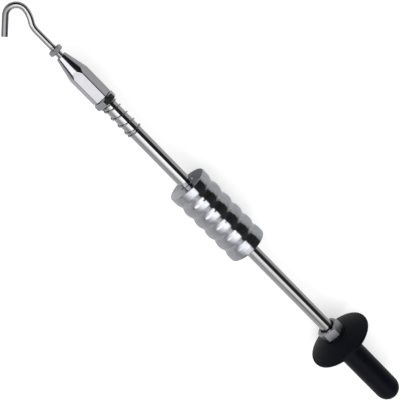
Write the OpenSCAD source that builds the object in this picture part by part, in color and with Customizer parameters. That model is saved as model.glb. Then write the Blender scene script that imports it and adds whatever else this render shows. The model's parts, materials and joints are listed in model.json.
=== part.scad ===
// Slide hammer puller with a screwed-in hook, a spring bumper and a grip with a hand guard.
// The tool lies along X with its hook at -X and its grip at +X. The hook bends in the XY plane.
// The origin is the middle of the grip's straight bar, where the hand holds it.
// Threads are drawn as plain surfaces at their mean diameter.

/* [Slide rod] */
// Diameter of the slide rod
rod_d = 16; // [14:0.5:18]
// Clear length of rod between the two large nuts
slide_length = 388.6; // [340:0.2:460]
// Depth on the radius from the rod's surface to the mean diameter of its end threads
thread_depth = 0.65; // [0.4:0.05:0.9]
// Clearance on the radius between a thread and the piece on it
thread_clear = 0.05; // [0.03:0.01:0.1]
// Length of rod screwed into the coupler
rod_in_coupler = 22; // [16:0.5:25]
// Length of rod behind the hub's face, inside the grip
rod_in_grip = 72; // [60:1:88]
// Chamfer at the rod's two ends
rod_end_chamfer = 1; // [0.5:0.1:1.5]

/* [Sliding weight] */
// Diameter of the sliding weight
weight_d = 50; // [42:0.5:60]
// Length of the sliding weight
weight_length = 107; // [96:0.2:120]
// Distance from the spring's free end to the weight's front face at rest
weight_start = 85.1; // [10:0.1:95]
// Clearance on the radius between the rod and the weight's bore
weight_clear = 0.3; // [0.2:0.05:0.5]
// Depth of each waist round the weight
waist_depth = 2; // [1:0.1:3]
// Distance from the front face to the middle of the first waist
waist_front = 17.3; // [13:0.1:18]
// Distance from the middle of the last waist to the rear face
waist_rear = 15.5; // [12:0.1:17]
// Number of waists
waist_count = 5; // [4:1:6]
// Rounding of the weight's rims
weight_round = 1.2; // [0.6:0.1:2]
// Chamfer at the mouths of the weight's bore
weight_bore_chamfer = 1.4; // [0.5:0.1:2]

/* [Grip and guard] */
// Diameter of the grip's bar
grip_d = 32; // [29:0.5:38]
// Length of the grip behind the guard
grip_length = 110.2; // [100:0.2:130]
// Diameter of the hand guard
guard_d = 84.5; // [70:0.5:100]
// Thickness of the guard at its rim
guard_rim = 4.9; // [4:0.1:6]
// Rounding of the rim's two edges
rim_round = 1.7; // [1:0.1:1.9]
// Height of the guard from its rear face to the hub's seat
hub_height = 15.4; // [10:0.2:18]
// Diameter of the raised hub
hub_d = 31.4; // [30:0.2:36]
// Height of the hub above the domed face
hub_step = 1.6; // [1:0.1:2.4]
// Rounding of the hub's edge
hub_round = 0.5; // [0.3:0.1:0.8]
// Bulge of the domed face above a straight cone
dome_bulge = 0.9; // [0.3:0.1:1.6]
// Fillet where the bar leaves the guard
grip_fillet = 3; // [1.5:0.5:5]
// Clearance on the radius between the rod and the grip's holes
grip_clear = 0.3; // [0.2:0.05:0.5]

/* [Grip insert] */
// Diameter of the threaded bush inside the grip
insert_d = 24; // [22:0.5:25]
// Length of the bush
insert_length = 42; // [34:1:48]
// Plastic in front of the bush
insert_cover = 5; // [4:0.5:7]
// Depth of the groove that holds the bush in the moulding
insert_groove = 1.5; // [0.8:0.1:2]
// Length of that groove
insert_groove_length = 12; // [8:1:16]
// Chamfer of the bush's edges and of its groove's sides
insert_chamfer = 1; // [0.5:0.1:1.5]
// Gap on every side between the bush and the moulding round it
mould_gap = 0.05; // [0.03:0.01:0.1]

/* [Large nuts] */
// Width across flats of the front jam nut
jam_nut_af = 24; // [23.5:0.5:27]
// Width across flats of the rear stop nut
stop_nut_af = 27; // [23.5:0.5:28]
// Thickness of the front jam nut
jam_nut_length = 9; // [6:0.5:10]
// Thickness of the rear stop nut
stop_nut_length = 13; // [11:0.5:16]
// Angle from upright to a corner of the jam nut
jam_nut_turn = -10; // [-30:1:30]
// Angle from upright to a corner of the stop nut
stop_nut_turn = 16; // [-30:1:30]
// Width of the recess round the rod in the stop nut's front face
stop_nut_recess = 2.2; // [0.8:0.1:3]
// Width of the countersink at every other thread mouth
countersink = 0.4; // [0.3:0.05:0.6]

/* [Coupler] */
// Width across flats of the coupler's hexagon bar
coupler_af = 22; // [21:0.5:26]
// Length of the coupler
coupler_length = 62.4; // [56:0.2:80]
// Diameter of the coupler's nose
nose_d = 12.4; // [11:0.2:15]
// Length of the turned cone from the nose to the corners
cone_length = 28.6; // [20:0.2:32]
// Chamfer at the rim of the nose
nose_chamfer = 0.5; // [0.3:0.1:1]
// Chamfer on the corners at the coupler's rear end, measured on the radius
coupler_rear_chamfer = 1; // [0.8:0.1:2.2]
// Angle from upright to a corner of the coupler
coupler_turn = 16.5; // [-30:0.5:30]
// Spare depth of a threaded hole past the piece in it
hole_spare = 2; // [1:0.5:4]

/* [Hook] */
// Diameter of the hook's bar
hook_bar_d = 7; // [6:0.1:8]
// Length of straight shank in front of the coupler
hook_reach = 36.7; // [28:0.1:50]
// Length of shank screwed into the coupler
hook_in_coupler = 20; // [14:0.5:24]
// Radius of the neck's centre line
neck_r = 18.8; // [15:0.2:26]
// Angle of the neck
neck_angle = 33; // [24:1:40]
// Radius of the crown's centre line
crown_r = 30.7; // [24:0.1:40]
// Angle of the crown
crown_angle = 26; // [15:1:34]
// Radius of the tight bend's centre line
bend_r = 11.6; // [10:0.2:15]
// Angle of the tight bend
bend_angle = 139; // [125:1:150]
// Length of the straight leg at the tip
leg_length = 22.3; // [16:0.1:28]
// Chamfer at the bar's two ends
hook_end_chamfer = 0.8; // [0.4:0.1:1.2]

/* [Hook lock nut] */
// Width across flats of the lock nut
lock_nut_af = 14; // [12:0.5:15]
// Thickness of the lock nut
lock_nut_length = 5.4; // [4:0.1:8]
// Gap between the lock nut and the coupler's nose at rest
lock_nut_gap = 5.4; // [1:0.1:8]
// Angle from upright to a corner of the lock nut
lock_nut_turn = -21; // [-30:1:30]

/* [Bumper spring] */
// Diameter of the spring's wire
wire_d = 1.7; // [1.4:0.1:2]
// Free length of the spring
spring_length = 44.5; // [40:0.1:60]
// Number of turns, the closed ones included
spring_turns = 5.5; // [4.5:0.25:7]
// Turns that lie closed at each end
closed_turns = 0.9; // [0.75:0.05:1.25]
// Gap between two closed turns
closed_gap = 0.5; // [0.45:0.05:0.8]
// Clearance on the radius between the rod and the spring
spring_clear = 0.3; // [0.25:0.05:0.6]
// Gap between the spring's end and the jam nut
spring_seat = 0.1; // [0.05:0.05:0.3]
// Angle from upright at which the wire starts
wire_start = -151; // [-180:1:180]

/* [Hidden] */
$fn = 96;

// Overrun of every cut past the face that it opens
overrun = 1;
// How much thinner the hook's bar is in its bends, on the radius, and how far straight bar reaches into a bend
bend_thinning = 0.05;
bend_lap = 0.3;
// Diameter of a nut's flat face, as a share of its width across flats
nut_face_share = 0.95;
// Slope of the chamfer on a hexagon's corners
corner_chamfer_angle = 30;
// Half angle of the cone that a drill leaves at a hole's end
drill_half_angle = 59;
// Power that makes the waists narrow and the crests between them broad
waist_power = 2;
// Steps of a quarter circle, of one waist and of the guard's dome
quarter_steps = 8;
waist_steps = 16;
dome_steps = 10;
// Rings in one turn of the spring, corners of its wire, and turns over which it opens out
rings_per_turn = 24;
wire_sides = 6;
opening_turns = 0.25;

rod_r = rod_d / 2;
thread_r = rod_r - thread_depth;
guard_r = guard_d / 2;
hub_r = hub_d / 2;
grip_r = grip_d / 2;
hook_bar_r = hook_bar_d / 2;

// Places along X, from the grip forward to the hook
bar_end_x = (grip_length - grip_r - grip_fillet) / 2;
guard_rear_x = bar_end_x - (grip_length - grip_r);
hub_face_x = guard_rear_x - hub_height;
stop_nut_x = hub_face_x - stop_nut_length;
jam_nut_rear_x = stop_nut_x - slide_length;
jam_nut_x = jam_nut_rear_x - jam_nut_length;
coupler_x = jam_nut_x - coupler_length;
weight_x = jam_nut_rear_x + spring_length + weight_start;
lock_nut_x = coupler_x - lock_nut_gap - lock_nut_length;
neck_x = coupler_x - hook_reach;
insert_x = hub_face_x + insert_cover;

// Centres and turning points of the hook's bends, as [x, y]
function polar(radius, angle) = radius * [cos(angle), sin(angle)];
crown_from = 90 - neck_angle;
bend_from = crown_from + crown_angle;
bend_to = bend_from + bend_angle;
neck_centre = [neck_x, neck_r];
neck_end = neck_centre - polar(neck_r, crown_from);
crown_centre = neck_end - polar(crown_r, crown_from);
crown_end = crown_centre + polar(crown_r, bend_from);
bend_centre = crown_end - polar(bend_r, bend_from);
bend_end = bend_centre + polar(bend_r, bend_to);

// Turns a shape that was drawn along Z so that it lies along X
module along_x(start) {
    translate([start, 0, 0]) rotate([0, 90, 0]) children();
}

// Points of a quarter circle about [along, across], from one angle to another
function arc(along, across, radius, from, to) = [
    for (k = [0 : quarter_steps])
        let (angle = from + (to - from) * k / quarter_steps)
        [across + radius * sin(angle), along + radius * cos(angle)]
];

function corner_radius(flats) = flats / 2 / cos(30);
function chamfer_rise(width) = width * tan(corner_chamfer_angle);

// Hexagon prism along Z with one corner turned away from upright
module hex_bar(flats, length, turn) {
    rotate([0, 0, -turn]) cylinder(r = corner_radius(flats), h = length, $fn = 6);
}

// Threaded hole from the face at z = 0 upwards, with a countersink at its mouth
module threaded_hole(radius, depth, mouth) {
    translate([0, 0, -overrun]) cylinder(r = radius, h = depth + overrun);
    translate([0, 0, -overrun]) cylinder(r1 = mouth + overrun, r2 = radius, h = mouth + overrun - radius);
}

// Blind threaded hole with the drill's cone at its end
module blind_hole(radius, depth, mouth) {
    threaded_hole(radius, depth, mouth);
    translate([0, 0, depth]) cylinder(r1 = radius, r2 = 0, h = radius / tan(drill_half_angle));
}

// Hexagon nut along Z, both faces chamfered, with a countersunk thread
module hex_nut(flats, length, turn, radius, front_mouth, rear_mouth) {
    outer = corner_radius(flats) + overrun;
    face = flats * nut_face_share / 2;
    rise = chamfer_rise(outer - face);
    difference() {
        intersection() {
            hex_bar(flats, length, turn);
            rotate_extrude() polygon([
                [0, 0], [face, 0], [outer, rise], [outer, length - rise], [face, length], [0, length],
            ]);
        }
        threaded_hole(radius, length + overrun, front_mouth);
        translate([0, 0, length]) mirror([0, 0, 1]) threaded_hole(radius, length, rear_mouth);
    }
}

// Bent stretch of the hook's bar about a centre in the XY plane
module hook_bend(centre, radius, from, sweep) {
    translate([centre.x, centre.y, 0]) rotate([0, 0, from])
        rotate_extrude(angle = sweep) translate([radius, 0]) circle(r = hook_bar_r - bend_thinning);
}

// Short straight of bar where one bend runs into the next
module hook_join(place, heading) {
    translate([place.x, place.y, 0]) rotate([0, 90, heading])
        cylinder(r = hook_bar_r, h = 2 * bend_lap, center = true);
}

// Straight stretch of bar from the end of a bend to a chamfered end
module hook_straight(place, heading, length) {
    translate([place.x, place.y, 0]) rotate([0, 90, heading]) {
        translate([0, 0, -bend_lap]) cylinder(r = hook_bar_r, h = length + bend_lap - hook_end_chamfer);
        translate([0, 0, length - hook_end_chamfer])
            cylinder(r1 = hook_bar_r, r2 = hook_bar_r - hook_end_chamfer, h = hook_end_chamfer);
    }
}

module hook() {
    color("silver") {
        hook_straight([neck_x, 0], 0, hook_reach + hook_in_coupler);
        hook_bend(neck_centre, neck_r, 180 + crown_from, neck_angle);
        hook_join(neck_end, 90 + crown_from);
        hook_bend(crown_centre, crown_r, crown_from, crown_angle);
        hook_join(crown_end, 90 + bend_from);
        hook_bend(bend_centre, bend_r, bend_from, bend_angle);
        hook_straight(bend_end, 90 + bend_to, leg_length);
    }
}

module hook_lock_nut() {
    color("darkgray") along_x(lock_nut_x)
        hex_nut(lock_nut_af, lock_nut_length, lock_nut_turn, hook_bar_r + thread_clear,
            hook_bar_r + countersink, hook_bar_r + countersink);
}

// Hexagon bar with a turned cone, a hole for the hook in its nose and one for the rod behind
module coupler() {
    nose_r = nose_d / 2;
    corner = corner_radius(coupler_af);
    outer = corner + overrun;
    cone_end = cone_length * (outer - nose_r) / (corner - nose_r);
    rear_r = corner - coupler_rear_chamfer;
    rear_rise = chamfer_rise(outer - rear_r);
    color("gainsboro") along_x(coupler_x) difference() {
        intersection() {
            hex_bar(coupler_af, coupler_length, coupler_turn);
            rotate_extrude() polygon([
                [0, 0], [nose_r - nose_chamfer, 0], [nose_r, nose_chamfer], [outer, cone_end],
                [outer, coupler_length - rear_rise], [rear_r, coupler_length], [0, coupler_length],
            ]);
        }
        blind_hole(hook_bar_r + thread_clear, hook_in_coupler + hole_spare, hook_bar_r + countersink);
        translate([0, 0, coupler_length]) mirror([0, 0, 1])
            blind_hole(thread_r + thread_clear, rod_in_coupler + hole_spare, rod_r);
    }
}

module front_jam_nut() {
    color("lightgray") along_x(jam_nut_x)
        hex_nut(jam_nut_af, jam_nut_length, jam_nut_turn, thread_r + thread_clear,
            rod_r + countersink, rod_r + countersink);
}

module rear_stop_nut() {
    color("lightgray") along_x(stop_nut_x)
        hex_nut(stop_nut_af, stop_nut_length, stop_nut_turn, thread_r + thread_clear,
            rod_r + stop_nut_recess, rod_r + countersink);
}

// The spring's wire: its centre's distance from the jam nut after some turns, and its pitch there
wire_r = wire_d / 2;
coil_r = rod_r + spring_clear + wire_r;
closed_pitch = wire_d + closed_gap;
coil_height = spring_length - wire_d - spring_seat;
open_rise = (coil_height - closed_pitch * spring_turns) / (spring_turns - 2 * closed_turns - opening_turns);
function opened(turns) =
    turns <= 0 ? 0
    : turns < opening_turns ? turns * turns / opening_turns / 2
    : turns - opening_turns / 2;
function wire_rise(turns) = closed_pitch * turns + open_rise * (
    opened(turns - closed_turns) - opened(turns - spring_turns + closed_turns + opening_turns)
);
function opening_share(turns) = min(1, max(0, turns / opening_turns));
function wire_pitch(turns) = closed_pitch + open_rise * (
    opening_share(turns - closed_turns) - opening_share(turns - spring_turns + closed_turns + opening_turns)
);

ring_count = ceil(spring_turns * rings_per_turn);
function ring_turns(ring) = spring_turns * ring / ring_count;
function outward(angle) = [0, sin(angle), cos(angle)];
function wire_centre(ring) = let (turns = ring_turns(ring))
    [jam_nut_rear_x + spring_seat + wire_r + wire_rise(turns), 0, 0]
    + coil_r * outward(wire_start + 360 * turns);
function wire_ring(ring) =
    let (
        turns = ring_turns(ring),
        angle = wire_start + 360 * turns,
        out = outward(angle),
        run = [wire_pitch(turns), 2 * PI * coil_r * cos(angle), -2 * PI * coil_r * sin(angle)],
        side = cross(run / norm(run), out)
    )
    [for (k = [0 : wire_sides - 1])
        wire_centre(ring) + wire_r * (cos(360 * k / wire_sides) * out + sin(360 * k / wire_sides) * side)];

wire_centres = [for (ring = [0 : ring_count]) wire_centre(ring)];
least_gap = min([
    for (one = [0 : ring_count - rings_per_turn / 2], other = [one + rings_per_turn / 2 : ring_count])
        norm(wire_centres[one] - wire_centres[other])
]) - wire_d;
echo("least gap between two turns of the spring, mm", least_gap);

// One unbroken left-handed wire with a flat cut at each end
module bumper_spring() {
    points = [for (ring = [0 : ring_count]) each wire_ring(ring)];
    last = ring_count * wire_sides;
    walls = [
        for (ring = [0 : ring_count - 1], k = [0 : wire_sides - 1])
            let (
                a = ring * wire_sides + k,
                b = ring * wire_sides + (k + 1) % wire_sides
            )
            each [[a, a + wire_sides, b + wire_sides], [a, b + wire_sides, b]]
    ];
    start_cap = [for (k = [1 : wire_sides - 2]) [0, k, k + 1]];
    end_cap = [for (k = [1 : wire_sides - 2]) [last, last + k + 1, last + k]];
    color("slategray") polyhedron(points = points, faces = concat(walls, start_cap, end_cap), convexity = 10);
}

// Round rod whose two ends are turned down where they are threaded
module slide_rod() {
    front = jam_nut_length + rod_in_coupler;
    full = front + slide_length;
    rear = full + stop_nut_length + rod_in_grip;
    color("whitesmoke") along_x(jam_nut_rear_x - front) rotate_extrude() polygon([
        [0, 0], [thread_r - rod_end_chamfer, 0], [thread_r, rod_end_chamfer],
        [thread_r, front - thread_depth], [rod_r, front],
        [rod_r, full], [thread_r, full + thread_depth],
        [thread_r, rear - rod_end_chamfer], [thread_r - rod_end_chamfer, rear], [0, rear],
    ]);
}

// Round weight whose side waves between full diameter and its waists
module sliding_weight() {
    radius = weight_d / 2;
    pitch = (weight_length - waist_front - waist_rear) / (waist_count - 1);
    wave_start = waist_front - pitch / 2;
    wave_steps = waist_steps * waist_count;
    waves = [
        for (k = [0 : wave_steps])
            let (dip = pow((1 - cos(360 * k / waist_steps)) / 2, waist_power))
            [radius - waist_depth * dip, wave_start + pitch * k / waist_steps]
    ];
    mouth = rod_r + weight_clear + weight_bore_chamfer;
    color("lightsteelblue") along_x(weight_x) difference() {
        rotate_extrude() polygon(concat(
            [[0, 0]],
            arc(weight_round, radius - weight_round, weight_round, 180, 90),
            waves,
            arc(weight_length - weight_round, radius - weight_round, weight_round, 90, 0),
            [[0, weight_length]]
        ));
        threaded_hole(rod_r + weight_clear, weight_length + overrun, mouth);
        translate([0, 0, weight_length]) mirror([0, 0, 1])
            threaded_hole(rod_r + weight_clear, weight_length, mouth);
    }
}

// Outline of the threaded bush, grown by the gap round it
function bush_outline(gap) =
    let (
        outer = insert_d / 2 + gap,
        groove = outer - insert_groove,
        half = insert_length / 2,
        groove_half = insert_groove_length / 2 - gap
    )
    [
        [0, -gap], [outer - insert_chamfer, -gap], [outer, insert_chamfer - gap],
        [outer, half - groove_half - insert_groove], [groove, half - groove_half],
        [groove, half + groove_half], [outer, half + groove_half + insert_groove],
        [outer, insert_length - insert_chamfer + gap], [outer - insert_chamfer, insert_length + gap],
        [0, insert_length + gap],
    ];

module grip_insert() {
    color("goldenrod") along_x(insert_x) difference() {
        rotate_extrude() polygon(bush_outline(0));
        threaded_hole(thread_r + thread_clear, insert_length + overrun, rod_r);
        translate([0, 0, insert_length]) mirror([0, 0, 1])
            threaded_hole(thread_r + thread_clear, insert_length, rod_r);
    }
}

// One moulding: hub, domed guard and bar with a round end, drawn along Z from the hub's face
module grip() {
    dome_start = [hub_r, hub_step];
    rim_front = hub_height - guard_rim;
    dome_end = [guard_r - rim_round, rim_front];
    chord = dome_end - dome_start;
    bulge_way = [chord.y, -chord.x] / norm(chord);
    dome = [
        for (k = [0 : dome_steps])
            let (along = k / dome_steps)
            dome_start + along * chord + 4 * dome_bulge * along * (1 - along) * bulge_way
    ];
    bar_end = hub_height + grip_length - grip_r;
    rod_hole_r = thread_r + grip_clear;
    color([0.07, 0.07, 0.08]) along_x(hub_face_x) difference() {
        rotate_extrude() polygon(concat(
            [[0, 0]],
            arc(hub_round, hub_r - hub_round, hub_round, 180, 90),
            dome,
            arc(rim_front + rim_round, guard_r - rim_round, rim_round, 180, 90),
            arc(hub_height - rim_round, guard_r - rim_round, rim_round, 90, 0),
            arc(hub_height + grip_fillet, grip_r + grip_fillet, grip_fillet, 180, 270),
            arc(bar_end, 0, grip_r, 90, 0)
        ));
        translate([0, 0, -overrun]) cylinder(r = rod_hole_r, h = rod_in_grip + grip_clear + overrun);
        translate([0, 0, insert_cover]) rotate_extrude() polygon(bush_outline(mould_gap));
    }
}

hook();
hook_lock_nut();
coupler();
front_jam_nut();
bumper_spring();
slide_rod();
sliding_weight();
rear_stop_nut();
grip();
grip_insert();
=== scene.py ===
"""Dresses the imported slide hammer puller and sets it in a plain, softly lit studio.

Every length is in metres, in the part's own frame: the tool lies along X with its hook at -X and its
grip at +X, and the hook bends in the XY plane. Angles about the tool's axis run from +Z towards +Y.
"""

import json
import logging
import math
from collections.abc import Callable
from dataclasses import dataclass
from enum import Enum

import bpy
from mathutils import Matrix, Vector

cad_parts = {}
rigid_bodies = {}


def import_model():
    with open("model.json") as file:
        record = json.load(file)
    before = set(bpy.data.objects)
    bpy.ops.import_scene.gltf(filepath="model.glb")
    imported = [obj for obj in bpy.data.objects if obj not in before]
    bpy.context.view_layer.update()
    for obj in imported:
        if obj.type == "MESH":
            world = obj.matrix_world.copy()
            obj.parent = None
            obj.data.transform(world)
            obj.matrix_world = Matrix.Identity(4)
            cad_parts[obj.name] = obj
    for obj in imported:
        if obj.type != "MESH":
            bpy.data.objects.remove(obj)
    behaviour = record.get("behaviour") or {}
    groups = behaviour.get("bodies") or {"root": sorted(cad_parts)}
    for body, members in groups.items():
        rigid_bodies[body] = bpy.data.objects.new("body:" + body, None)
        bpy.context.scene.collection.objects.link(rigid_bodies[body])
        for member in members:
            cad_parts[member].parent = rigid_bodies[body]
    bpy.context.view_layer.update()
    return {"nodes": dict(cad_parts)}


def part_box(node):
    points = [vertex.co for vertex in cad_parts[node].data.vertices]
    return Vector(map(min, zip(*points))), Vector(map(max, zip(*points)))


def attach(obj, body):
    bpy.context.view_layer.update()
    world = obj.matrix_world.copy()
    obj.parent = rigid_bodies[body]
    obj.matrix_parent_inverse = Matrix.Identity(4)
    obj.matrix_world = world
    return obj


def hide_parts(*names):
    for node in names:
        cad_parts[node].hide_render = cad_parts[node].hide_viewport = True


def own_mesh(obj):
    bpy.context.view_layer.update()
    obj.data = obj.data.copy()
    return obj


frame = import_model()

MM = 0.001
WHITE = (1, 1, 1, 1)
BLACK = (0, 0, 0, 1)
# Two corners nearer than this are one corner
WELD = 0.001 * MM
# Two faces that meet at more than this angle show an edge between them
EDGE_ANGLE = math.radians(12)
# Rise along the axis for each step outwards, on a hexagon's chamfer and in the end of a drilled hole
CHAMFER_RISE = math.tan(math.radians(30))
DRILL_RISE = math.tan(math.radians(31))
# How far a milling bar reaches past both ends of a piece
SPARE = 1 * MM

# How much a finish's fine marks count beside its duller patches
MARK_SHARE = 0.35
# Levels of marks and patches together at which a finish starts to turn duller and is at its dullest; on a
# faced end these levels set how dark its painted sheen is
DULL_START = 0.35
DULL_END = 0.65
# How many times longer than wide the marks of a drawn finish are
DRAWN_STRETCH = 40
# How many rays the painted sheen on a faced end fans out into, and how much painted shade darkens its +Y
# side
PAINTED_SHEEN_FAN_SCALE = 6.0
PAINTED_SHADE_SIDE = 0.34

Piece = bpy.types.Object
Socket = bpy.types.NodeSocket
# A place or a step
Point = Vector | tuple
# What a node's input takes
Input = Socket | float | tuple
Colour = tuple[float, float, float]
Place = tuple[float, float, float]
# Two limits, two ends or two lengths that belong together
Pair = tuple[float, float]
# Pairs of a place or an angle and the level there, in rising order
Stops = tuple[Pair, ...]

# The finishes that are already made into materials, by their names
MIXED: dict[str, bpy.types.Material] = {}

log = logging.getLogger("slide_hammer")


def clear_selection() -> None:
    """Leave every object unselected, so that the next operator acts on new work alone."""
    bpy.ops.object.select_all(action="DESELECT")


def pick(obj: Piece) -> None:
    """Select one object alone and make it the active one.

    Args:
        obj: The object that the next operator acts on.
    """
    clear_selection()
    obj.select_set(True)
    bpy.context.view_layer.objects.active = obj


def single_corner(name: str, place: Point) -> Piece:
    """Start a piece as one corner, in edit mode.

    Args:
        name: Name of the piece.
        place: Place of the corner.

    Returns:
        The piece.
    """
    clear_selection()
    bpy.ops.mesh.primitive_plane_add(size=MM)
    obj = bpy.context.object
    obj.name = name
    bpy.ops.object.mode_set(mode="EDIT")
    bpy.ops.mesh.merge(type="CENTER")
    bpy.ops.transform.translate(value=place)
    return obj


def draw_on(step: Point) -> None:
    """Draw an edge from the selected corner."""
    bpy.ops.mesh.extrude_vertices_move(TRANSFORM_OT_translate={"value": step})


def pull_out(step: Point) -> None:
    """Extrude the selected face."""
    bpy.ops.mesh.extrude_region_move(TRANSFORM_OT_translate={"value": step})


def widen(centre: Point, times: float) -> None:
    """Scale the selected face about its centre."""
    bpy.ops.transform.resize(value=(times, times, times), center_override=centre)


def spin(angle: float, steps: int, centre: Point, axis: Point) -> None:
    """Sweep the selection about an axis by the right-hand rule.

    Args:
        angle: Angle of the sweep, in radians.
        steps: Number of steps in the sweep.
        centre: A point on the axis.
        axis: Direction of the axis.
    """
    bpy.ops.mesh.spin(steps=steps, angle=-angle, center=centre, axis=axis)


def turn_about_axis(obj: Piece, angle: float) -> None:
    """Turn a piece's mesh about the tool's axis.

    Args:
        obj: The piece.
        angle: Angle from +Y towards +Z, in radians.
    """
    obj.rotation_euler.x = angle
    pick(obj)
    bpy.ops.object.transform_apply(location=False, rotation=True, scale=False)


def apply_modifier(obj: Piece, kind: str, **settings: object) -> None:
    """Add one modifier with its settings and apply it at once.

    Args:
        obj: The object that takes the modifier.
        kind: Blender's name for the modifier's type.
        settings: The modifier's properties and their values.
    """
    modifier = obj.modifiers.new(kind.title(), kind)
    for name, value in settings.items():
        setattr(modifier, name, value)
    pick(obj)
    bpy.ops.object.modifier_apply(modifier=modifier.name)


def weld(obj: Piece) -> None:
    """Merge the doubled corners of a new mesh and turn all its faces outwards.

    Args:
        obj: The object whose mesh is cleaned.
    """
    pick(obj)
    bpy.ops.object.mode_set(mode="EDIT")
    bpy.ops.mesh.select_all(action="SELECT")
    bpy.ops.mesh.remove_doubles(threshold=WELD)
    bpy.ops.mesh.normals_make_consistent(inside=False)
    bpy.ops.object.mode_set(mode="OBJECT")


def combine(obj: Piece, tool: Piece, operation: str) -> None:
    """Keep or add another solid's space, and remove that solid.

    Args:
        obj: The solid that stays.
        tool: The solid that is used up.
        operation: INTERSECT or UNION.
    """
    apply_modifier(obj, "BOOLEAN", operation=operation, object=tool, solver="EXACT")
    bpy.data.objects.remove(tool)
    weld(obj)


def shade(obj: Piece) -> None:
    """Shade a piece smooth, with its true edges kept sharp."""
    pick(obj)
    bpy.ops.object.shade_smooth_by_angle(angle=EDGE_ANGLE)


def ease_edges(obj: Piece, width: float) -> None:
    """Shade a machined piece and round its sharp edges a little.

    Args:
        obj: The object whose edges are eased.
        width: Width of the rounding.
    """
    shade(obj)
    apply_modifier(
        obj, "BEVEL", width=width, segments=3, limit_method="ANGLE", angle_limit=EDGE_ANGLE,
        use_clamp_overlap=False, harden_normals=True, miter_outer="MITER_ARC",
    )


class Outline:
    """Half outline of a turned piece, drawn corner by corner and then spun about the tool's axis."""

    def __init__(self, name: str, along: float, radius: float) -> None:
        """Start an outline at one point.

        Args:
            name: Name of the piece.
            along: The point's place along X.
            radius: Its distance from the axis.
        """
        self.obj = single_corner(name, (along, 0, radius))
        self.here = (along, radius)

    def to(self, along: float, radius: float) -> "Outline":
        """Draw a straight line to a point.

        Args:
            along: The point's place along X.
            radius: Its distance from the axis.

        Returns:
            The outline.
        """
        draw_on((along - self.here[0], 0, radius - self.here[1]))
        self.here = (along, radius)
        return self

    def arc(self, along: float, radius: float, angle: float, steps: int = 8) -> "Outline":
        """Draw an arc about a centre.

        Args:
            along: The centre's place along X.
            radius: Its distance from the axis.
            angle: Angle of the arc in degrees, positive from +X towards the outside.
            steps: Number of steps in the arc.

        Returns:
            The outline.
        """
        turn = math.radians(angle)
        spin(-turn, steps, (along, 0, radius), (0, 1, 0))
        out, up = self.here[0] - along, self.here[1] - radius
        self.here = (
            along + out * math.cos(turn) - up * math.sin(turn),
            radius + out * math.sin(turn) + up * math.cos(turn),
        )
        return self

    def turned(self, sides: int, start: float = 0.0) -> Piece:
        """Spin the outline into a closed solid.

        Args:
            sides: Number of sides round the axis.
            start: Angle about the axis at which the first side starts, in radians.

        Returns:
            The turned solid, shaded smooth.
        """
        bpy.ops.mesh.select_all(action="SELECT")
        spin(math.tau, sides, (0, 0, 0), (1, 0, 0))
        bpy.ops.object.mode_set(mode="OBJECT")
        if start:
            turn_about_axis(self.obj, -start)
        weld(self.obj)
        shade(self.obj)
        return self.obj


@dataclass(frozen=True)
class Hexagon:
    """Hexagon bar along the tool's axis.

    Attributes:
        flats: Distance across its flats.
        corner_angle: Angle of one of its corners about the axis, in degrees.
    """

    flats: float
    corner_angle: float

    @property
    def corner_radius(self) -> float:
        """Distance from the axis to a corner."""
        return self.flats / 2 / math.cos(math.radians(30))

    def bar(self, start: float, end: float) -> Piece:
        """Build the plain hexagon bar.

        Args:
            start: Where the bar starts along X.
            end: Where it ends.

        Returns:
            The bar.
        """
        clear_selection()
        bpy.ops.mesh.primitive_cylinder_add(
            vertices=6, radius=self.corner_radius, depth=end - start,
            location=((start + end) / 2, 0, 0), rotation=(0, math.pi / 2, 0),
        )
        bar = bpy.context.object
        bpy.ops.object.transform_apply()
        # The cylinder's first corner points along +Y
        turn_about_axis(bar, math.pi / 2 - math.radians(self.corner_angle))
        return bar

    def milled(self, outline: Outline, sides: int, start: float, end: float, eased: float) -> Piece:
        """Turn an outline, mill it to this hexagon and ease its edges.

        Args:
            outline: The piece's outline.
            sides: Number of sides of the turned blank.
            start: Where the piece starts along X.
            end: Where it ends.
            eased: Width of the rounding on the edges.

        Returns:
            The milled piece.
        """
        # Each corner of the hexagon lies in the middle of a side of the blank
        piece = outline.turned(sides, math.radians(self.corner_angle) + math.pi / sides)
        combine(piece, self.bar(start - SPARE, end + SPARE), "INTERSECT")
        ease_edges(piece, eased)
        return piece


@dataclass(frozen=True)
class HexNut:
    """Hexagon nut with chamfered corners.

    Attributes:
        hexagon: The bar that it is cut from.
        hole: Radius of its hole.
        front: Radius of the mouth in its front face.
        rear: Radius of the mouth in its rear face.
        collar: Length and radius of the round collar on its front face.
        sides: Number of sides of its turned blank.
        face_share: Share of the width across flats that its end faces take up.
        blank_extra: How far the blank's radius exceeds the corners.
        eased: Width of the rounding on its edges.
    """

    hexagon: Hexagon
    hole: float
    front: float
    rear: float
    collar: Pair = (0.0, 0.0)
    sides: int = 96
    face_share: float = 0.95
    blank_extra: float = 0.2 * MM
    eased: float = 0.12 * MM

    def build(self, name: str, start: float, end: float) -> Piece:
        """Turn and mill the nut.

        Args:
            name: Name of the piece.
            start: Place of its front face along X.
            end: Place of its rear face.

        Returns:
            The nut.
        """
        face = self.face_share * self.hexagon.flats / 2
        outer = self.hexagon.corner_radius + self.blank_extra
        rise = (outer - face) * CHAMFER_RISE
        outline = Outline(name, start, self.front)
        length, radius = self.collar
        if length:
            outline.to(start, radius).to(start + length, radius)
        body = start + length
        outline.to(body, face).to(body + rise, outer).to(end - rise, outer).to(end, face)
        outline.to(end, self.rear).to(end - (self.rear - self.hole), self.hole)
        outline.to(start + (self.front - self.hole), self.hole).to(start, self.front)
        return self.hexagon.milled(outline, self.sides, start, end, self.eased)


class Grain(Enum):
    """Way in which a finish's fine marks run."""

    TURNED = "rings about the tool's axis"
    # A faced end also gets a painted sheen in its colour, fanning out from the axis, with painted shade on
    # its +Y side
    FACED = "rings about the axis on an end face"
    DRAWN = "lines along the tool's axis"
    CAST = "fine pits in every direction"


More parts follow.
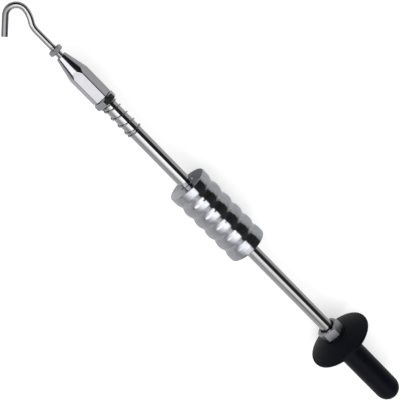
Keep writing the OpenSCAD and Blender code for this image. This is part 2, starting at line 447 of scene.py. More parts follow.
class Nodes:
    """A node tree, with short ways to add nodes and to link them."""

    def __init__(self, tree: bpy.types.NodeTree) -> None:
        """Take up a tree."""
        self.tree = tree

    def node(self, kind: str, values: dict | None = None, **settings: object) -> bpy.types.Node:
        """Add one node.

        Args:
            kind: Blender's name for the node's type, without its ShaderNode prefix.
            values: Values and links for its input sockets, by name or by number.
            settings: Properties of the node.

        Returns:
            The node.
        """
        node = self.tree.nodes.new("ShaderNode" + kind)
        for name, value in settings.items():
            setattr(node, name, value)
        self.put(node, values or {})
        return node

    def put(self, node: bpy.types.Node, values: dict[str | int, Input]) -> None:
        """Set a node's inputs to values, or link them to other nodes' outputs.

        Args:
            node: The node.
            values: Values and outputs for its inputs, by name or by number.
        """
        for name, value in values.items():
            if isinstance(value, Socket):
                self.tree.links.new(value, node.inputs[name])
            else:
                node.inputs[name].default_value = value

    def maths(self, operation: str, *values: Input) -> Socket:
        """Add a Math node on these values and return its output."""
        return self.node("Math", dict(enumerate(values)), operation=operation).outputs[0]

    def share(self, value: Socket, start: float, end: float) -> Socket:
        """Return how far a value has come from its start to its end, from 0 to 1."""
        inputs = {"Value": value, "From Min": start, "From Max": end}
        return self.node("MapRange", inputs).outputs["Result"]

    def remap(self, value: Socket, low: float, high: float) -> Socket:
        """Carry a value that runs from 0 to 1 over to another range."""
        inputs = {"Value": value, "To Min": low, "To Max": high}
        return self.node("MapRange", inputs).outputs["Result"]

    def mix(self, share: Socket, first: Input, second: Input, kind: str = "FLOAT") -> Socket:
        """Blend two numbers, or two colours of kind RGBA, by the second one's share."""
        return self.node("Mix", {0: share, "A": first, "B": second}, data_type=kind).outputs["Result"]

    def ramp(self, value: Socket, stops: Stops) -> Socket:
        """Carry a value over to a level that runs straight from stop to stop.

        Args:
            value: The value that the stops are placed on.
            stops: Pairs of a value and its level.

        Returns:
            The level.
        """
        start, end = stops[0][0], stops[-1][0]
        highest = max(level for _, level in stops)
        ramp = self.node("ValToRGB", {"Fac": self.share(value, start, end)})
        marks = ramp.color_ramp.elements
        for place, level in stops[1:-1]:
            marks.new((place - start) / (end - start)).color = (level / highest,) * 3 + (1,)
        marks[0].color = (stops[0][1] / highest,) * 3 + (1,)
        marks[len(marks) - 1].color = (stops[-1][1] / highest,) * 3 + (1,)
        return self.maths("MULTIPLY", ramp.outputs["Color"], highest)

    def seen(self) -> Socket:
        """Add the test for a ray from the camera, a mirror or glass.

        Returns:
            1 for such a ray, and 0 for any other.
        """
        path = self.node("LightPath").outputs
        direct = self.maths("ADD", path["Is Camera Ray"], path["Is Glossy Ray"])
        return self.maths("ADD", direct, path["Is Transmission Ray"])


class Sheet(Nodes):
    """A material's node tree, with its surface shader at hand."""

    def __init__(self, name: str) -> None:
        """Start a material with only its output and its surface shader.

        Args:
            name: Name of the material.
        """
        self.material = bpy.data.materials.new(name)
        self.material.use_nodes = True
        super().__init__(self.material.node_tree)
        self.surface = self.tree.nodes["Principled BSDF"]


@dataclass(frozen=True)
class WearAndShade:
    """A stretch of a piece over which its finish grows rougher, with a painted shade darkening its colour.

    Attributes:
        way: Direction in which the places are measured.
        bright: Place where the finish is still bright.
        worn_and_shaded: Place from which on the finish is rough and painted dark.
        colour: Its colour there, darkened as painted shade.
        roughness: Its roughness there.
    """

    way: Place
    bright: float
    worn_and_shaded: float
    colour: Colour
    roughness: float

    def share(self, sheet: Sheet, place: Socket) -> Socket:
        """Add the nodes that say how far a place has gone towards rough and painted dark, from 0 to 1."""
        measure = sheet.node("VectorMath", {0: place, 1: self.way}, operation="DOT_PRODUCT")
        return sheet.share(measure.outputs["Value"], self.bright, self.worn_and_shaded)


@dataclass(frozen=True)
class Finish:
    """How one surface of the tool looks.

    Attributes:
        name: Name of the material.
        slot: The record's material slot that the finish belongs to; not used.
        colour: Its colour where it is clean.
        dull_and_shaded_colour: Its colour where it is duller, and on a faced end the dark colour of its
            painted sheen.
        roughness: Its least and its greatest roughness.
        grain: The way in which its fine marks run.
        grain_pitch: Distance between two marks.
        grain_depth: Depth of the marks.
        patch_size: Size of its duller patches.
        metallic: 1 for a metal and 0 for a plastic.
        sheen: Strength of a plastic's surface reflection, 0.5 for a plain one.
        wear_and_shade: Where it grows rougher and its colour is painted darker.
    """

    name: str
    slot: str
    colour: Colour
    dull_and_shaded_colour: Colour
    roughness: Pair
    grain: Grain
    grain_pitch: float
    grain_depth: float
    patch_size: float
    metallic: float = 1.0
    sheen: float = 0.5
    wear_and_shade: WearAndShade | None = None

    def material(self) -> bpy.types.Material:
        """Build the finish as a material, once.

        Returns:
            The material.
        """
        if self.name in MIXED:
            return MIXED[self.name]
        sheet = Sheet(self.name)
        MIXED[self.name] = sheet.material
        place = sheet.node("TexCoord").outputs["Object"]
        marks = self.marks(sheet, place)
        # On a faced end the patches are a painted sheen, so the blend below paints light and shade into
        # its colour
        patches = sheet.maths("MULTIPLY", self.patches(sheet, place), 1 - MARK_SHARE)
        level = sheet.maths("MULTIPLY_ADD", marks, MARK_SHARE, patches)
        dull_and_shaded = sheet.share(level, DULL_START, DULL_END)
        colour = sheet.mix(dull_and_shaded, self.colour + (1,), self.dull_and_shaded_colour + (1,), "RGBA")
        roughness = sheet.remap(dull_and_shaded, *self.roughness)
        # Rougher along the stretch, with a painted shade darkening its colour
        if self.wear_and_shade:
            worn_and_shaded = self.wear_and_shade.share(sheet, place)
            colour = sheet.mix(worn_and_shaded, colour, self.wear_and_shade.colour + (1,), "RGBA")
            roughness = sheet.mix(worn_and_shaded, roughness, self.wear_and_shade.roughness)
        bump = sheet.node("Bump", {"Height": marks, "Strength": 1.0, "Distance": self.grain_depth})
        sheet.put(sheet.surface, {
            "Base Color": colour, "Roughness": roughness, "Metallic": self.metallic,
            "Specular IOR Level": self.sheen, "Normal": bump.outputs["Normal"],
        })
        return sheet.material

    def patches(self, sheet: Sheet, place: Socket) -> Socket:
        """Add the nodes for the duller patches; on a faced end they are a painted sheen fanning out from
        the axis, with painted shade on its +Y side.

        Args:
            sheet: The material's node tree.
            place: The place on the piece, in object coordinates.

        Returns:
            How much duller the place is, from 0 to 1; on a faced end, how dark its painted sheen is.
        """
        noise = {"Vector": place, "Scale": 1 / self.patch_size, "Detail": 5.0, "Roughness": 0.6}
        if self.grain is not Grain.FACED:
            return sheet.node("TexNoise", noise).outputs["Fac"]
        across = sheet.node("VectorMath", {0: place, 1: (0, 1, 1)}, operation="MULTIPLY").outputs["Vector"]
        outward = sheet.node("VectorMath", {0: across}, operation="NORMALIZE").outputs["Vector"]
        noise |= {"Vector": outward, "Scale": PAINTED_SHEEN_FAN_SCALE, "Detail": 3.0}
        painted_sheen_fan = sheet.node("TexNoise", noise).outputs["Fac"]
        # Painted shade: the +Y side of a faced end is made darker
        side = sheet.node("SeparateXYZ", {"Vector": outward}).outputs["Y"]
        return sheet.maths("MULTIPLY_ADD", side, PAINTED_SHADE_SIDE, painted_sheen_fan)

    def marks(self, sheet: Sheet, place: Socket) -> Socket:
        """Add the nodes for the fine marks.

        Args:
            sheet: The material's node tree.
            place: The place on the piece, in object coordinates.

        Returns:
            The marks' height, from 0 to 1.
        """
        axes = sheet.node("SeparateXYZ", {"Vector": place}).outputs
        fine = 1 / self.grain_pitch
        measure = axes["X"]
        if self.grain is Grain.FACED:
            across = sheet.node("CombineXYZ", {"Y": axes["Y"], "Z": axes["Z"]}).outputs["Vector"]
            measure = sheet.node("VectorMath", {0: across}, operation="LENGTH").outputs["Value"]
        if self.grain in (Grain.TURNED, Grain.FACED):
            rings = {"W": measure, "Scale": fine, "Detail": 3.0}
            return sheet.node("TexNoise", rings, noise_dimensions="1D").outputs["Fac"]
        along = fine / DRAWN_STRETCH if self.grain is Grain.DRAWN else fine
        scaled = sheet.node("Mapping", {"Vector": place, "Scale": (along, fine, fine)}).outputs["Vector"]
        lines = {"Vector": scaled, "Scale": 1.0, "Detail": 3.0, "Roughness": 0.55}
        return sheet.node("TexNoise", lines).outputs["Fac"]


ROD_CHROME = Finish(
    "ground_chrome", "rod_chrome", (0.57, 0.57, 0.58), (0.53, 0.53, 0.54), (0.04, 0.07),
    Grain.TURNED, 0.25 * MM, 0.0003 * MM, 30 * MM,
)
WEIGHT_CHROME = Finish(
    "turned_chrome", "weight_chrome", (0.59, 0.605, 0.645), (0.47, 0.487, 0.525), (0.08, 0.15),
    Grain.TURNED, 0.35 * MM, 0.0010 * MM, 10 * MM,
)
# The weight's end faces: real turning rings, with a painted sheen in the colour that fans out from the
# axis and painted shade on the +Y side
WEIGHT_FACE_PAINTED_SHEEN = Finish(
    "turned_face_painted_sheen", "weight_chrome", (0.62, 0.62, 0.68), (0.09, 0.10, 0.125), (0.16, 0.26),
    Grain.FACED, 0.4 * MM, 0.004 * MM, 12 * MM,
)
HEX_FLATS = Finish(
    "drawn_flats", "bright_hexagon", (0.57, 0.57, 0.60), (0.52, 0.52, 0.55), (0.07, 0.12),
    Grain.DRAWN, 0.3 * MM, 0.0006 * MM, 14 * MM,
)
HEX_CONE = Finish(
    "turned_cone", "bright_hexagon", (0.57, 0.57, 0.60), (0.50, 0.50, 0.53), (0.06, 0.12),
    Grain.TURNED, 0.5 * MM, 0.0010 * MM, 14 * MM,
)
# Measured across the hook's free leg: from the tight bend on, the leg grows rougher and its colour is
# painted darker, a painted shade standing in for the greyer reflection along the leg
LEG_WEAR_AND_SHADE = WearAndShade((0.743, 0.669, 0.0), -448.6 * MM, -457.2 * MM, (0.35, 0.35, 0.36), 0.36)
HOOK_BAR = Finish(
    "bright_bar", "hook_bar", (0.57, 0.57, 0.58), (0.49, 0.49, 0.49), (0.08, 0.16),
    Grain.CAST, 0.9 * MM, 0.0008 * MM, 10 * MM, wear_and_shade=LEG_WEAR_AND_SHADE,
)
ZINC_NUT = Finish(
    "dull_zinc", "zinc_nut", (0.58, 0.58, 0.59), (0.44, 0.44, 0.45), (0.30, 0.42),
    Grain.CAST, 0.5 * MM, 0.004 * MM, 4 * MM,
)
# Painted shade on the lock nut's chamfers: a dark colour that stands in for the dark reflection they catch
NUT_CHAMFER_SHADE = Finish(
    "painted_shade_chamfer", "zinc_nut", (0.20, 0.20, 0.21), (0.14, 0.14, 0.15), (0.30, 0.42),
    Grain.CAST, 0.5 * MM, 0.004 * MM, 4 * MM,
)
LARGE_NUT = Finish(
    "bright_zinc", "large_nut", (0.61, 0.62, 0.65), (0.50, 0.51, 0.54), (0.19, 0.29),
    Grain.CAST, 0.9 * MM, 0.0016 * MM, 8 * MM,
)
STRUCK_NUT = Finish(
    "struck_zinc", "large_nut", (0.46, 0.46, 0.50), (0.34, 0.34, 0.37), (0.19, 0.30),
    Grain.CAST, 0.9 * MM, 0.0016 * MM, 8 * MM,
)
# Painted shade: a dark colour in the seam behind the coupler and in the stop nut's recess, where the
# neighbouring parts shade the metal
SEAM_SHADE = Finish(
    "painted_shade_seam", "large_nut", (0.06, 0.06, 0.068), (0.03, 0.03, 0.034), (0.25, 0.40),
    Grain.CAST, 0.5 * MM, 0.001 * MM, 4 * MM,
)
SPRING_WIRE = Finish(
    "plated_wire", "spring_wire", (0.50, 0.50, 0.52), (0.40, 0.40, 0.41), (0.12, 0.20),
    Grain.CAST, 0.4 * MM, 0.001 * MM, 6 * MM,
)
BLACK_MOULDING = Finish(
    "black_satin", "black_moulding", (0.0026, 0.0030, 0.0062), (0.0038, 0.0042, 0.0076), (0.34, 0.44),
    Grain.CAST, 0.35 * MM, 0.008 * MM, 22 * MM, metallic=0.0, sheen=0.085,
)
INSERT_STEEL = Finish(
    "plain_steel", "insert_steel", (0.45, 0.45, 0.45), (0.36, 0.36, 0.36), (0.28, 0.40),
    Grain.TURNED, 0.4 * MM, 0.005 * MM, 8 * MM,
)


def dress(obj: Piece, finish: Finish) -> None:
    """Give a piece one finish all over.

    Args:
        obj: The piece.
        finish: Its finish.
    """
    obj.data.materials.clear()
    obj.data.materials.append(finish.material())


def dress_faces(obj: Piece, finish: Finish, chosen: Callable[[bpy.types.MeshPolygon], bool]) -> None:
    """Give some faces of a dressed piece a second finish.

    Args:
        obj: The piece.
        finish: The second finish.
        chosen: A test that takes a face and says whether it gets the finish.
    """
    obj.data.materials.append(finish.material())
    number = len(obj.data.materials) - 1
    for polygon in obj.data.polygons:
        if chosen(polygon):
            polygon.material_index = number


def place_on(obj: Piece, body: str, node: str) -> Piece:
    """Let a finished piece stand for a CAD node and move with its body.

    Args:
        obj: The finished piece.
        body: The body that carries it.
        node: The node that it replaces.

    Returns:
        The piece.
    """
    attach(obj, body)
    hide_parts(node)
    return obj


@dataclass
class HookEnd:
    """The bent hook, its small lock nut and the hexagon coupler behind them.

    The bends are triples of an angle in degrees, a radius and a number of steps, from the shank to the
    free leg. The thread's form is pairs of a share of its pitch and a share of its depth. Each lean is
    a pair of limits for how far a face looks along the axis, from 0 to 1.
    """

    bar_radius: float = 3.5 * MM
    bar_sides: int = 48
    shank_in_coupler: float = 20 * MM
    hook_reach: float = 36.7 * MM
    bends: tuple[tuple[float, float, int], ...] = (
        (-33.0, 18.8 * MM, 14), (26.0, 30.7 * MM, 12), (139.0, 11.6 * MM, 48),
    )
    leg_length: float = 22.3 * MM
    tip_round: float = 0.7 * MM
    tip_steps: int = 8
    thread_crest: float = 3.93 * MM
    thread_root: float = 3.25 * MM
    thread_pitch: float = 1.25 * MM
    thread_form: Stops = ((0.15, 0), (0.42, 1), (0.58, 1), (0.85, 0), (1.0, 0))
    thread_ahead: float = 3.2 * MM
    thread_overlap: float = 0.1 * MM
    core_radius: float = 2.9 * MM
    lock_nut: HexNut = HexNut(Hexagon(14 * MM, -21.0), hole=4.0 * MM, front=4.3 * MM, rear=4.3 * MM)
    shaded_chamfer_lean: Pair = (0.25, 0.95)
    coupler_hexagon: Hexagon = Hexagon(22 * MM, 16.5)
    coupler_sides: int = 120
    coupler_eased: float = 0.3 * MM
    nose_radius: float = 6.2 * MM
    nose_round: float = 0.5 * MM
    nose_turn: float = 70.0
    nose_steps: int = 6
    cone_length: float = 28.6 * MM
    cone_lean: Pair = (0.1, math.cos(math.radians(20)))
    turned_radius: float = 12.35 * MM
    rear_face_radius: float = 11.7 * MM
    rod_hole_radius: float = 7.4 * MM
    rod_hole_depth: float = 24 * MM
    rod_hole_mouth: float = 8.0 * MM
    hole_mouth: float = 4.3 * MM
    hole_radius: float = 4.0 * MM
    hole_depth: float = 22 * MM

    def __post_init__(self) -> None:
        """Read from the frame where the nut and the coupler lie."""
        self.nut_low, self.nut_high = (corner.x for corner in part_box("hook_lock_nut"))
        self.nose, self.rear = (corner.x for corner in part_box("coupler"))

    def hook(self) -> Piece:
        """Sweep the round bar from its shank to its tip and roll the thread on the shank.

        Returns:
            The hook.
        """
        thread_start = self.nut_low - self.thread_ahead
        clear_selection()
        bpy.ops.mesh.primitive_circle_add(
            vertices=self.bar_sides, radius=self.core_radius, rotation=(0, math.pi / 2, 0),
            location=(thread_start + self.thread_pitch, 0, 0),
        )
        bar = bpy.context.object
        bar.name = "bent_hook"
        bpy.ops.object.transform_apply()
        bpy.ops.object.mode_set(mode="EDIT")
        bpy.ops.mesh.select_all(action="SELECT")
        bpy.ops.mesh.edge_face_add()
        # The bar starts as a cone inside the thread
        pull_out((-self.thread_pitch, 0, 0))
        widen((thread_start, 0, 0), self.bar_radius / self.core_radius)
        heading = math.pi
        here = Vector((self.nose - self.hook_reach, 0, 0))
        pull_out(here - Vector((thread_start, 0, 0)))
        for degrees, bend, steps in self.bends:
            angle = math.radians(degrees)
            side = Vector((-math.sin(heading), math.cos(heading), 0)) * math.copysign(bend, angle)
            centre = here + side
            spin(angle, steps, centre, (0, 0, 1))
            here = centre - Matrix.Rotation(angle, 3, "Z") @ side
            heading += angle
        forward = Vector((math.cos(heading), math.sin(heading), 0))
        leg = forward * (self.leg_length - self.tip_round)
        pull_out(leg)
        self.round_tip(here + leg, forward)
        bpy.ops.object.mode_set(mode="OBJECT")
        weld(bar)
        thread = self.thread(thread_start - self.thread_overlap, self.nose + self.shank_in_coupler)
        combine(bar, thread, "UNION")
        shade(bar)
        return bar

    def round_tip(self, here: Vector, forward: Vector) -> None:
        """Round the rim of the bar's tip.

        Args:
            here: Middle of the face that the rounding starts from.
            forward: Direction in which the tip points.
        """
        flat = self.bar_radius - self.tip_round
        for k in range(self.tip_steps):
            low, high = (math.radians(90 * i / self.tip_steps) for i in (k, k + 1))
            step = forward * self.tip_round * (math.sin(high) - math.sin(low))
            pull_out(step)
            here = here + step
            wide, narrow = (flat + self.tip_round * math.cos(angle) for angle in (low, high))
            widen(here, narrow / wide)

    def thread(self, start: float, end: float) -> Piece:
        """Roll a right-handed thread between two places along X.

        Args:
            start: Where the thread starts.
            end: Where it ends.

        Returns:
            The threaded bar, with flat ends.
        """
        pitch, root = self.thread_pitch, self.thread_root
        turns = math.ceil((end - start) / pitch) + 2
        first = start - pitch
        outline = Outline("thread", first, root)
        for share, height in self.thread_form:
            outline.to(first + share * pitch, root + height * (self.thread_crest - root))
        bpy.ops.object.mode_set(mode="OBJECT")
        bar = outline.obj
        apply_modifier(
            bar, "SCREW", axis="X", angle=math.tau, screw_offset=pitch, iterations=turns,
            steps=self.bar_sides, render_steps=self.bar_sides, use_merge_vertices=True,
            merge_threshold=WELD,
        )
        # Turned by half a side, the thread shares no edge with the bar
        turn_about_axis(bar, math.pi / self.bar_sides)
        weld(bar)
        bpy.ops.object.mode_set(mode="EDIT")
        for cut, outward in ((start, -1), (end, 1)):
            bpy.ops.mesh.select_all(action="SELECT")
            bpy.ops.mesh.bisect(
                plane_co=(cut, 0, 0), plane_no=(outward, 0, 0), use_fill=True, clear_outer=True,
                threshold=WELD,
            )
        bpy.ops.object.mode_set(mode="OBJECT")
        weld(bar)
        return bar

    def coupler(self) -> Piece:
        """Turn the coupler's cone and holes, and mill its six flats.

        Returns:
            The coupler.
        """
        nose, rear, hexagon = self.nose, self.rear, self.coupler_hexagon
        deep = nose + self.hole_depth
        rod_end = rear - self.rod_hole_depth
        outline = Outline("tapered_coupler", deep + self.hole_radius * DRILL_RISE, 0)
        outline.to(deep, self.hole_radius)
        outline.to(nose + self.hole_mouth - self.hole_radius, self.hole_radius).to(nose, self.hole_mouth)
        small = self.nose_radius - self.nose_round
        outline.to(nose, small).arc(nose + self.nose_round, small, -self.nose_turn, self.nose_steps)
        slope = (hexagon.corner_radius - self.nose_radius) / self.cone_length
        cone_end = nose + (self.turned_radius - self.nose_radius) / slope
        outline.to(cone_end, self.turned_radius)
        rise = (self.turned_radius - self.rear_face_radius) * CHAMFER_RISE
        outline.to(rear - rise, self.turned_radius).to(rear, self.rear_face_radius)
        outline.to(rear, self.rod_hole_mouth)
        outline.to(rear - (self.rod_hole_mouth - self.rod_hole_radius), self.rod_hole_radius)
        outline.to(rod_end, self.rod_hole_radius).to(rod_end - self.rod_hole_radius * DRILL_RISE, 0)
        return hexagon.milled(outline, self.coupler_sides, nose, rear, self.coupler_eased)

    def build(self) -> list[Piece]:
        """Build, dress and place the three pieces.

        Returns:
            The pieces.
        """
        hook = place_on(self.hook(), "hook_body", "hook")
        dress(hook, HOOK_BAR)
        lock_nut = self.lock_nut.build("small_lock_nut", self.nut_low, self.nut_high)
        place_on(lock_nut, "lock_nut", "hook_lock_nut")
        dress(lock_nut, ZINC_NUT)
        least, most = self.shaded_chamfer_lean
        # The chamfer faces take the painted shade
        dress_faces(lock_nut, NUT_CHAMFER_SHADE, lambda face: least < abs(face.normal.x) < most)
        coupler = place_on(self.coupler(), "frame", "coupler")
        dress(coupler, HEX_FLATS)
        low, high = self.cone_lean
        dress_faces(coupler, HEX_CONE, lambda face: low < -face.normal.x < high)
        return [hook, lock_nut, coupler]


@dataclass
class Bumper:
    """The thin jam nut behind the coupler and the open spring behind it."""

    nut: HexNut = HexNut(
        Hexagon(24 * MM, -10.0), hole=7.4 * MM, front=8.4 * MM, rear=8.4 * MM,
        collar=(0.9 * MM, 10.6 * MM),
    )
    seam_length: float = 0.8 * MM
    wire_radius: float = 0.85 * MM
    wire_resolution: int = 3
    coil_radius: float = 9.15 * MM
    turns: float = 5.5
    closed_turns: float = 0.9
    closed_pitch: float = 2.2 * MM
    opening_turns: float = 0.25
    wire_start: float = -151.0
    rings_per_turn: int = 48
    travel: float = 29 * MM

    def __post_init__(self) -> None:
        """Read from the frame where the nut and the spring lie."""
        self.nut_low, self.nut_high = (corner.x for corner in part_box("front_jam_nut"))
        self.coil_low, self.coil_high = (corner.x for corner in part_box("bumper_spring"))

    def opened(self, turns: float) -> float:
        """Count the open turns, over whose first part the coil opens little by little.

        Args:
            turns: Number of turns past the closed ones.

        Returns:
            The number of open turns that they are worth.
        """
        if turns <= 0:
            return 0.0
        if turns < self.opening_turns:
            return turns * turns / self.opening_turns / 2
        return turns - self.opening_turns / 2

    def rise(self, turns: float) -> float:
        """Give the wire's distance along the axis from its start.

        Args:
            turns: Number of turns from the wire's start.

        Returns:
            The distance.
        """
        height = self.coil_high - self.coil_low - 2 * self.wire_radius
        open_turns = self.turns - 2 * self.closed_turns - self.opening_turns
        extra = (height - self.closed_pitch * self.turns) / open_turns
        closing = turns - self.turns + self.closed_turns + self.opening_turns
        after = self.opened(turns - self.closed_turns) - self.opened(closing)
        return self.closed_pitch * turns + extra * after

    def wire_point(self, turns: float) -> Vector:
        """Give the middle of the wire.

        Args:
            turns: Number of turns from the wire's start.

        Returns:
            The place.
        """
        angle = math.radians(self.wire_start) + math.tau * turns
        across = Vector((0, math.sin(angle), math.cos(angle))) * self.coil_radius
        return across + Vector((self.coil_low + self.wire_radius + self.rise(turns), 0, 0))

    def spring(self) -> Piece:
        """Wind the wire round the rod, left-handed, with closed ends.

        Returns:
            The spring.
        """
        count = round(self.turns * self.rings_per_turn)
        points = [self.wire_point(self.turns * ring / count) for ring in range(count + 1)]
        coil = single_corner("coil_spring", points[0])
        for here, there in zip(points, points[1:]):
            draw_on(there - here)
        bpy.ops.object.mode_set(mode="OBJECT")
        bpy.ops.object.convert(target="CURVE")
        coil.data.bevel_depth = self.wire_radius
        coil.data.bevel_resolution = self.wire_resolution
        coil.data.use_fill_caps = True
        bpy.ops.object.convert(target="MESH")
        coil = bpy.context.object
        weld(coil)
        shade(coil)
        return coil

    def build(self) -> list[Piece]:
        """Build, dress and place the nut and the spring.

        Returns:
            The pieces.
        """
        jam_nut = self.nut.build("thin_jam_nut", self.nut_low, self.nut_high)
        place_on(jam_nut, "frame", "front_jam_nut")
        dress(jam_nut, LARGE_NUT)
        # The collar between the coupler and the nut takes painted shade
        seam = self.nut_low + self.seam_length
        dress_faces(jam_nut, SEAM_SHADE, lambda face: face.center.x < seam)
        spring = place_on(self.spring(), "frame", "bumper_spring")
        dress(spring, SPRING_WIRE)
        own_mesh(spring)
        return [jam_nut, spring]


@dataclass
class SlidingPair:
    """The long round rod and the waisted weight that runs on it."""

    rod_sides: int = 128
    thread_radius: float = 7.35 * MM
    thread_front: float = 31 * MM
    thread_rear: float = 85 * MM
    end_chamfer: float = 1 * MM
    weight_sides: int = 160
    bore_radius: float = 8.3 * MM
    bore_chamfer: float = 1.4 * MM
    rim_round: float = 1.2 * MM
    waist_depth: float = 2 * MM
    waist_power: float = 1.6
    waist_front: float = 17.3 * MM
    waist_rear: float = 15.5 * MM
    waist_count: int = 5
    waist_steps: int = 28
    end_face_lean: float = 0.98

    def __post_init__(self) -> None:
        """Read from the frame where the rod and the weight lie."""
        low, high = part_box("slide_rod")
        self.rod_low, self.rod_high, self.rod_radius = low.x, high.x, high.z
        low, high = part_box("sliding_weight")
        self.weight_low, self.weight_high, self.weight_radius = low.x, high.x, high.z

    def rod(self) -> Piece:
        """Turn the rod, full in the middle and turned down where its ends are threaded.

        Returns:
            The rod.
        """
        low, high, full, thin = self.rod_low, self.rod_high, self.rod_radius, self.thread_radius
        step = full - thin
        outline = Outline("ground_rod", low, 0)
        outline.to(low, thin - self.end_chamfer).to(low + self.end_chamfer, thin)
        outline.to(low + self.thread_front - step, thin).to(low + self.thread_front, full)
        outline.to(high - self.thread_rear, full).to(high - self.thread_rear + step, thin)
        outline.to(high - self.end_chamfer, thin).to(high, thin - self.end_chamfer).to(high, 0)
        return outline.turned(self.rod_sides)

    def weight(self) -> Piece:
        """Turn the weight with its waists, its rounded rims and its bore.

        Returns:
            The weight.
        """
        low, high, full = self.weight_low, self.weight_high, self.weight_radius
        bore, mouth, rim = self.bore_radius, self.bore_radius + self.bore_chamfer, self.rim_round
        pitch = (high - low - self.waist_front - self.waist_rear) / (self.waist_count - 1)
        wave_low = low + self.waist_front - pitch / 2
        outline = Outline("waisted_weight", low, mouth)
        outline.to(low, full - rim).arc(low + rim, full - rim, -90)
        for k in range(self.waist_steps * self.waist_count + 1):
            share = k / self.waist_steps
            depth = self.waist_depth * ((1 - math.cos(math.tau * share)) / 2) ** self.waist_power
            outline.to(wave_low + pitch * share, full - depth)
        outline.to(high - rim, full).arc(high - rim, full - rim, -90)
        outline.to(high, mouth).to(high - self.bore_chamfer, bore).to(low + self.bore_chamfer, bore)
        outline.to(low, mouth)
        return outline.turned(self.weight_sides)

    def build(self) -> list[Piece]:
        """Build, dress and place the rod and the weight.

        Returns:
            The pieces.
        """
        rod = place_on(self.rod(), "frame", "slide_rod")
        dress(rod, ROD_CHROME)
        weight = place_on(self.weight(), "weight", "sliding_weight")
        dress(weight, WEIGHT_CHROME)
        # The end faces take the finish with the painted sheen and painted shade
        dress_faces(weight, WEIGHT_FACE_PAINTED_SHEEN, lambda face: abs(face.normal.x) > self.end_face_lean)
        return [rod, weight]


@dataclass
class HandGrip:
    """The stop nut in front of the guard and the black grip with its hidden steel bush."""

    nut: HexNut = HexNut(Hexagon(27 * MM, 16.0), hole=7.4 * MM, front=10.2 * MM, rear=8.4 * MM)
    recess_lean: float = 0.2
    grip_sides: int = 160
    hub_height: float = 15.4 * MM
    hub_radius: float = 15.7 * MM
    hub_step: float = 1.6 * MM
    hub_round: float = 0.5 * MM
    dome_bulge: float = 0.9 * MM
    dome_steps: int = 24
    rim: float = 4.9 * MM
    rim_round: float = 1.7 * MM
    fillet: float = 3 * MM
    bar_radius: float = 16 * MM
    bar_end_steps: int = 32
    rod_hole_radius: float = 7.65 * MM
    rod_hole_depth: float = 72.3 * MM
    bush_cover: float = 5 * MM
    bush_radius: float = 12 * MM
    bush_length: float = 42 * MM
    bush_groove: float = 1.5 * MM
    bush_groove_length: float = 12 * MM
    bush_chamfer: float = 1 * MM
    mould_gap: float = 0.05 * MM

    def __post_init__(self) -> None:
        """Read from the frame where the nut and the grip lie."""
        self.nut_low, self.nut_high = (corner.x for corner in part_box("rear_stop_nut"))
        low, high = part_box("grip")
        self.face, self.end, self.guard_radius = low.x, high.x, high.z

    def grip(self) -> Piece:
        """Turn the moulding: the bush's cavity, the hub, the domed guard and the bar.

        Returns:
            The grip.
        """
        outline = Outline("black_grip", self.face + self.rod_hole_depth, 0)
        self.draw_cavity(outline)
        face, hub, small = self.face, self.hub_radius, self.hub_round
        outline.to(face, hub - small).arc(face + small, hub - small, -90)
        rear = face + self.hub_height
        outside, edge = self.guard_radius, self.rim_round
        start = Vector((face + self.hub_step, hub))
        chord = Vector((rear - self.rim, outside - edge)) - start
        bulge_way = Vector((-chord.y, chord.x)).normalized()
        # The dome stands off its chord as a parabola does
        for k in range(self.dome_steps + 1):
            share = k / self.dome_steps
            point = start + share * chord + 4 * self.dome_bulge * share * (1 - share) * bulge_way
            outline.to(point.x, point.y)
        outline.arc(rear - self.rim + edge, outside - edge, -90).to(rear - edge, outside)
        outline.arc(rear - edge, outside - edge, -90)
        bar = self.bar_radius
        outline.to(rear, bar + self.fillet).arc(rear + self.fillet, bar + self.fillet, 90)
        outline.to(self.end - bar, bar).arc(self.end - bar, 0, -90, self.bar_end_steps)
        return outline.turned(self.grip_sides)

    def draw_cavity(self, outline: Outline) -> None:
        """Draw the rod's hole and the cavity round the bush, from the hole's end to the hub's face.

        Args:
            outline: The grip's outline, which starts at the hole's end.
        """
        face, gap, hole = self.face, self.mould_gap, self.rod_hole_radius
        low = face + self.bush_cover - gap
        high = face + self.bush_cover + self.bush_length + gap
        middle = (low + high) / 2
        wide = self.bush_radius + gap
        groove, half = wide - self.bush_groove, self.bush_groove_length / 2 - gap
        outline.to(face + self.rod_hole_depth, hole).to(high, hole)
        outline.to(high, wide - self.bush_chamfer).to(high - self.bush_chamfer, wide)
        outline.to(middle + half + self.bush_groove, wide).to(middle + half, groove)
        outline.to(middle - half, groove).to(middle - half - self.bush_groove, wide)
        outline.to(low + self.bush_chamfer, wide).to(low, wide - self.bush_chamfer)
        outline.to(low, hole).to(face, hole)

    def in_recess(self, face: bpy.types.MeshPolygon) -> bool:
        """Say whether a face of the stop nut is the front of its recess or of its hole's rim."""
        return face.normal.x < -self.recess_lean and face.center.yz.length < self.nut.front

    def build(self) -> list[Piece]:
        """Build, dress and place the nut and the grip, and dress the hidden bush.

        Returns:
            The pieces.
        """
        stop_nut = self.nut.build("striking_nut", self.nut_low, self.nut_high)
        place_on(stop_nut, "frame", "rear_stop_nut")
        dress(stop_nut, STRUCK_NUT)
        # The front of the recess and the hole's rim take painted shade
        dress_faces(stop_nut, SEAM_SHADE, self.in_recess)
        grip = place_on(self.grip(), "frame", "grip")
        dress(grip, BLACK_MOULDING)
        bush = frame["nodes"]["grip_insert"]
        dress(bush, INSERT_STEEL)
        return [stop_nut, grip, bush]


